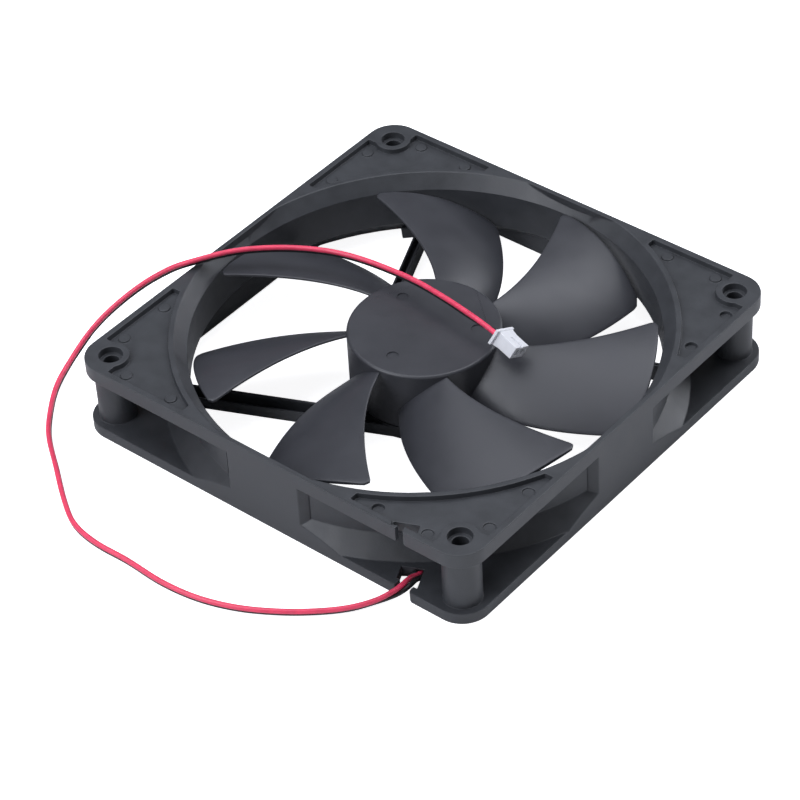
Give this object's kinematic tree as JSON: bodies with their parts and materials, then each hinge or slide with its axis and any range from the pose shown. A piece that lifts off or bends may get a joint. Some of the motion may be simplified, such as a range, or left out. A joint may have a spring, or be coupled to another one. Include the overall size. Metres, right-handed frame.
{
  "type": "case fan",
  "caption": "Square flanged case fan: a bladed impeller turns in a struted frame on a sleeve-bearing motor, with a red and black lead ending in a crimp housing.",
  "frame": {"origin": "centre of the frame's underside, the exhaust side, on the impeller's axis", "axes": "+Z along the impeller's axis towards the intake side; the lead leaves the frame on the -Y side near the +X corner"},
  "size_m": [0.1617, 0.1759, 0.0326],
  "materials": {
    "frame_plastic": "moulded dark grey thermoplastic, fine satin",
    "impeller_plastic": "moulded grey thermoplastic, satin",
    "label": "blank coated label",
    "brass": "turned",
    "sintered_bronze": "sintered, oiled",
    "washer_nylon": "natural nylon",
    "seal_rubber": "matt",
    "core_steel": "stacked laminations",
    "former_nylon": "natural nylon",
    "enamelled_wire": "enamelled copper winding",
    "tinned_pin": "tinned",
    "board_laminate": "green solder mask",
    "chip_epoxy": "moulded epoxy",
    "capacitor_body": "ceramic chip",
    "solder": "bright solder",
    "cup_steel": "drawn, zinc plated",
    "ferrite": "bonded ferrite",
    "shaft_steel": "ground",
    "red_insulation": "extruded insulation, soft gloss",
    "black_insulation": "extruded insulation, soft gloss",
    "housing_nylon": "natural white nylon",
    "tinned_contact": "tinned brass"
  },
  "bodies": {
    "stator": {"frame": "frame_plastic", "rear_label": "label", "bearing_tube": "brass", "sleeve_bearing": "sintered_bronze", "thrust_washer": "washer_nylon", "oil_seal": "seal_rubber", "stator_core": "core_steel", "upper_former": "former_nylon", "lower_former": "former_nylon", "coil_1": "enamelled_wire", "coil_2": "enamelled_wire", "coil_3": "enamelled_wire", "coil_4": "enamelled_wire", "winding_pin_1": "tinned_pin", "winding_pin_2": "tinned_pin", "winding_pin_3": "tinned_pin", "circuit_board": "board_laminate", "hall_sensor": "chip_epoxy", "driver_chip": "chip_epoxy", "capacitor": "capacitor_body", "solder_red": "solder", "solder_black": "solder", "lead_red": "red_insulation", "lead_black": "black_insulation", "connector_housing": "housing_nylon", "terminal_red": "tinned_contact", "terminal_black": "tinned_contact"},
    "rotor": {"impeller": "impeller_plastic", "rotor_cup": "cup_steel", "rotor_magnet": "ferrite", "shaft": "shaft_steel", "retaining_clip": "washer_nylon"}
  },
  "joints": [
    {"name": "rotor_spin", "type": "hinge", "parent": "stator", "child": "rotor", "pos_m": [0, 0, 0.0125], "axis": [0, 0, 1], "continuous": true}
  ]
}
